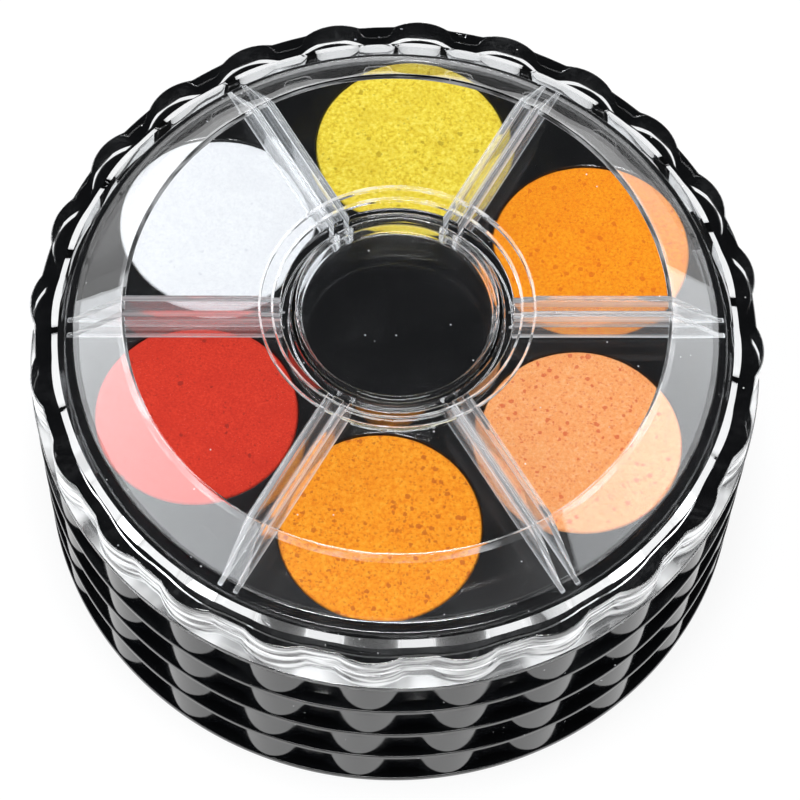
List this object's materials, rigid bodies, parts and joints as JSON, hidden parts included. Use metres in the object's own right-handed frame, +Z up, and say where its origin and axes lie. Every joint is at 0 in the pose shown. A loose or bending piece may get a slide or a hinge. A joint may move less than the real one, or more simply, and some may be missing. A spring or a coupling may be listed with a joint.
{
  "type": "watercolour paint set",
  "caption": "Round stack of black trays with pressed watercolour cakes, under a clear lid that turns over to serve as a mixing palette.",
  "frame": {"origin": "on the axis of the stack, at the bottom of the lowest tray", "axes": "+Z up along the axis of the stack; -Y towards the viewer of the picture, +X to the right"},
  "size_m": [0.112, 0.112, 0.0526],
  "materials": {
    "clear_polystyrene": "clear and glossy",
    "black_polystyrene": "moulded satin gloss",
    "paint_ochre": "matt pressed powder",
    "paint_sienna": "matt pressed powder",
    "paint_umber": "matt pressed powder",
    "paint_brown": "matt pressed powder",
    "paint_grey": "matt pressed powder",
    "paint_black": "matt pressed powder",
    "paint_turquoise": "matt pressed powder",
    "paint_sky_blue": "matt pressed powder",
    "paint_ultramarine": "matt pressed powder",
    "paint_emerald": "matt pressed powder",
    "paint_leaf_green": "matt pressed powder",
    "paint_olive": "matt pressed powder",
    "paint_pink": "matt pressed powder",
    "paint_rose": "matt pressed powder",
    "paint_crimson": "matt pressed powder",
    "paint_magenta": "matt pressed powder",
    "paint_violet": "matt pressed powder",
    "paint_lilac": "matt pressed powder",
    "paint_yellow": "matt pressed powder",
    "paint_orange": "matt pressed powder",
    "paint_salmon": "matt pressed powder",
    "paint_amber": "matt pressed powder",
    "paint_red": "matt pressed powder",
    "paint_white": "matt pressed powder"
  },
  "bodies": {
    "tray_1": {"tray_1": "black_polystyrene", "tray_1_cake_ochre": "paint_ochre", "tray_1_cake_sienna": "paint_sienna", "tray_1_cake_umber": "paint_umber", "tray_1_cake_brown": "paint_brown", "tray_1_cake_grey": "paint_grey", "tray_1_cake_black": "paint_black"},
    "tray_2": {"tray_2": "black_polystyrene", "tray_2_cake_turquoise": "paint_turquoise", "tray_2_cake_sky_blue": "paint_sky_blue", "tray_2_cake_ultramarine": "paint_ultramarine", "tray_2_cake_emerald": "paint_emerald", "tray_2_cake_leaf_green": "paint_leaf_green", "tray_2_cake_olive": "paint_olive"},
    "tray_3": {"tray_3": "black_polystyrene", "tray_3_cake_pink": "paint_pink", "tray_3_cake_rose": "paint_rose", "tray_3_cake_crimson": "paint_crimson", "tray_3_cake_magenta": "paint_magenta", "tray_3_cake_violet": "paint_violet", "tray_3_cake_lilac": "paint_lilac"},
    "tray_4": {"tray_4": "black_polystyrene", "tray_4_cake_yellow": "paint_yellow", "tray_4_cake_orange": "paint_orange", "tray_4_cake_salmon": "paint_salmon", "tray_4_cake_amber": "paint_amber", "tray_4_cake_red": "paint_red", "tray_4_cake_white": "paint_white"},
    "palette_lid": {"palette_lid": "clear_polystyrene"}
  },
  "joints": [
    {"name": "tray_2_lift", "type": "slide", "parent": "tray_1", "child": "tray_2", "axis": [0, 0, 1], "range_m": [0, 0.03]},
    {"name": "tray_3_lift", "type": "slide", "parent": "tray_2", "child": "tray_3", "axis": [0, 0, 1], "range_m": [0, 0.03]},
    {"name": "tray_4_lift", "type": "slide", "parent": "tray_3", "child": "tray_4", "axis": [0, 0, 1], "range_m": [0, 0.03]},
    {"name": "palette_lid_lift", "type": "slide", "parent": "tray_4", "child": "palette_lid", "axis": [0, 0, 1], "range_m": [0, 0.03]}
  ]
}
